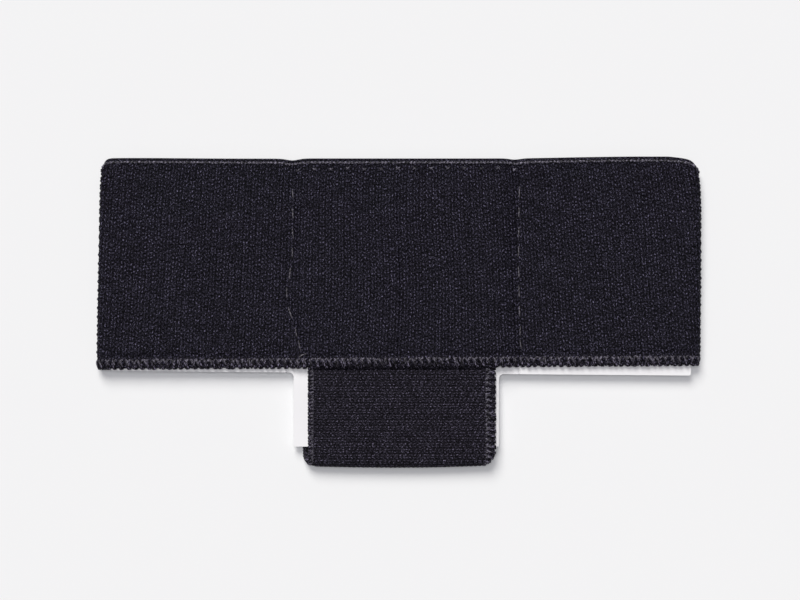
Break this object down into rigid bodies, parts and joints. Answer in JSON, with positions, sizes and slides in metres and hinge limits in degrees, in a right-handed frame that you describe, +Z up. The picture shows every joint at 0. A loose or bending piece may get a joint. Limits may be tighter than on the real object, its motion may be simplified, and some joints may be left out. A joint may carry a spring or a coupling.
{
  "type": "wrist splint",
  "caption": "Slip-on knit elastic wrist splint: a flat tube with folding wings, a palm loop and a removable T-shaped stiffener.",
  "frame": {"origin": "under the middle of the outline of the splint as it lies flat, on the plane that it lies on", "axes": "+X along the width of the sleeve, from the left wing to the right wing; +Y from the palm loop to the open top; +Z up, out of the front face"},
  "size_m": [0.1844, 0.0948, 0.0061],
  "materials": {
    "knit": "black heavy knit elastic with fine ribs, matt with a slight thread sheen",
    "lining": "thin black knit lining, matt",
    "thread": "black polyester sewing thread with a soft sheen",
    "board": "white, smooth and matt"
  },
  "bodies": {
    "sleeve_middle": {"back_knit_panel": "knit", "back_bottom_overlock": "thread", "back_top_hem": "knit", "pocket_lining": "lining", "front_knit_panel": "knit", "front_bottom_overlock": "thread", "front_top_hem": "knit", "left_fold_stitch": "thread", "right_fold_stitch": "thread", "top_stitch_row": "thread", "palm_loop": "knit", "loop_left_overlock": "thread", "loop_right_overlock": "thread"},
    "left_wing": {"left_wing_knit": "knit", "left_wing_bottom_overlock": "thread", "left_wing_top_hem": "knit"},
    "right_wing": {"right_wing_knit": "knit", "right_wing_bottom_overlock": "thread", "right_wing_top_hem": "knit"},
    "stiffener_middle": {"stiffener_middle": "board"},
    "stiffener_left": {"stiffener_left": "board"},
    "stiffener_right": {"stiffener_right": "board"}
  },
  "joints": [
    {"name": "left_wing_fold", "type": "hinge", "parent": "sleeve_middle", "child": "left_wing", "pos_m": [-0.034, 0.015, 0.0048], "axis": [0, 1, 0], "range_deg": [0, 110]},
    {"name": "right_wing_fold", "type": "hinge", "parent": "sleeve_middle", "child": "right_wing", "pos_m": [0.037, 0.015, 0.0048], "axis": [0, -1, 0], "range_deg": [0, 110]},
    {"name": "stiffener_slide", "type": "slide", "parent": "sleeve_middle", "child": "stiffener_middle", "axis": [0, 1, 0], "range_m": [0, 0.092]},
    {"name": "stiffener_left_fold", "type": "hinge", "parent": "stiffener_middle", "child": "stiffener_left", "pos_m": [-0.034, 0.015, 0.0048], "axis": [0, 1, 0], "range_deg": [0, 110]},
    {"name": "stiffener_right_fold", "type": "hinge", "parent": "stiffener_middle", "child": "stiffener_right", "pos_m": [0.037, 0.015, 0.0048], "axis": [0, -1, 0], "range_deg": [0, 110]}
  ],
  "couplings": [
    {"joint": "stiffener_left_fold", "follows": "left_wing_fold", "ratio": 1},
    {"joint": "stiffener_right_fold", "follows": "right_wing_fold", "ratio": 1}
  ]
}
